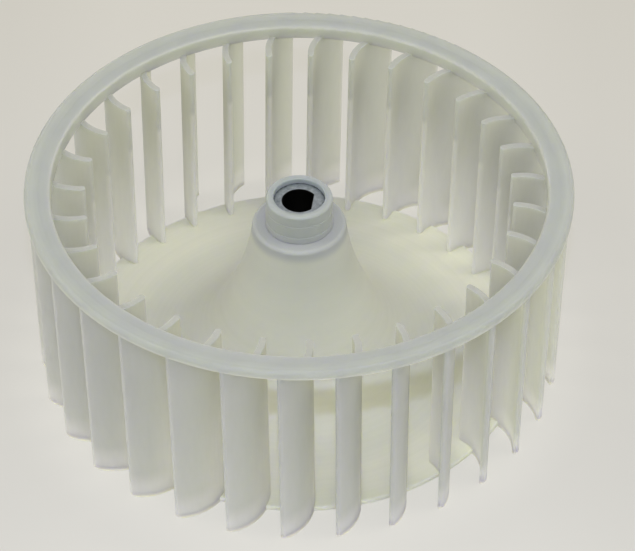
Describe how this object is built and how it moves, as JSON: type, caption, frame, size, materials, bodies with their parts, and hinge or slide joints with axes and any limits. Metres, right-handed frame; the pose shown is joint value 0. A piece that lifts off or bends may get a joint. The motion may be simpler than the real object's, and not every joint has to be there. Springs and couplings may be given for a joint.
{
  "type": "dryer blower wheel",
  "caption": "Moulded centrifugal blower wheel: a disc with a hollow cone and hub collar, curved blades tied by a ring, and a steel bush with a D-shaped bore.",
  "frame": {"origin": "on the wheel's axis, in the plane of the blades' feet and the back of the disc", "axes": "+Z along the wheel's axis, from the disc to the ring and the hub collar; +X to the right in the picture"},
  "size_m": [0.205, 0.205, 0.0875],
  "materials": {
    "natural_polypropylene": "as moulded, translucent white, satin",
    "dark_steel": "turned and blackened"
  },
  "bodies": {
    "root": {"blower_wheel": "natural_polypropylene", "hub_bush": "dark_steel"}
  },
  "joints": []
}
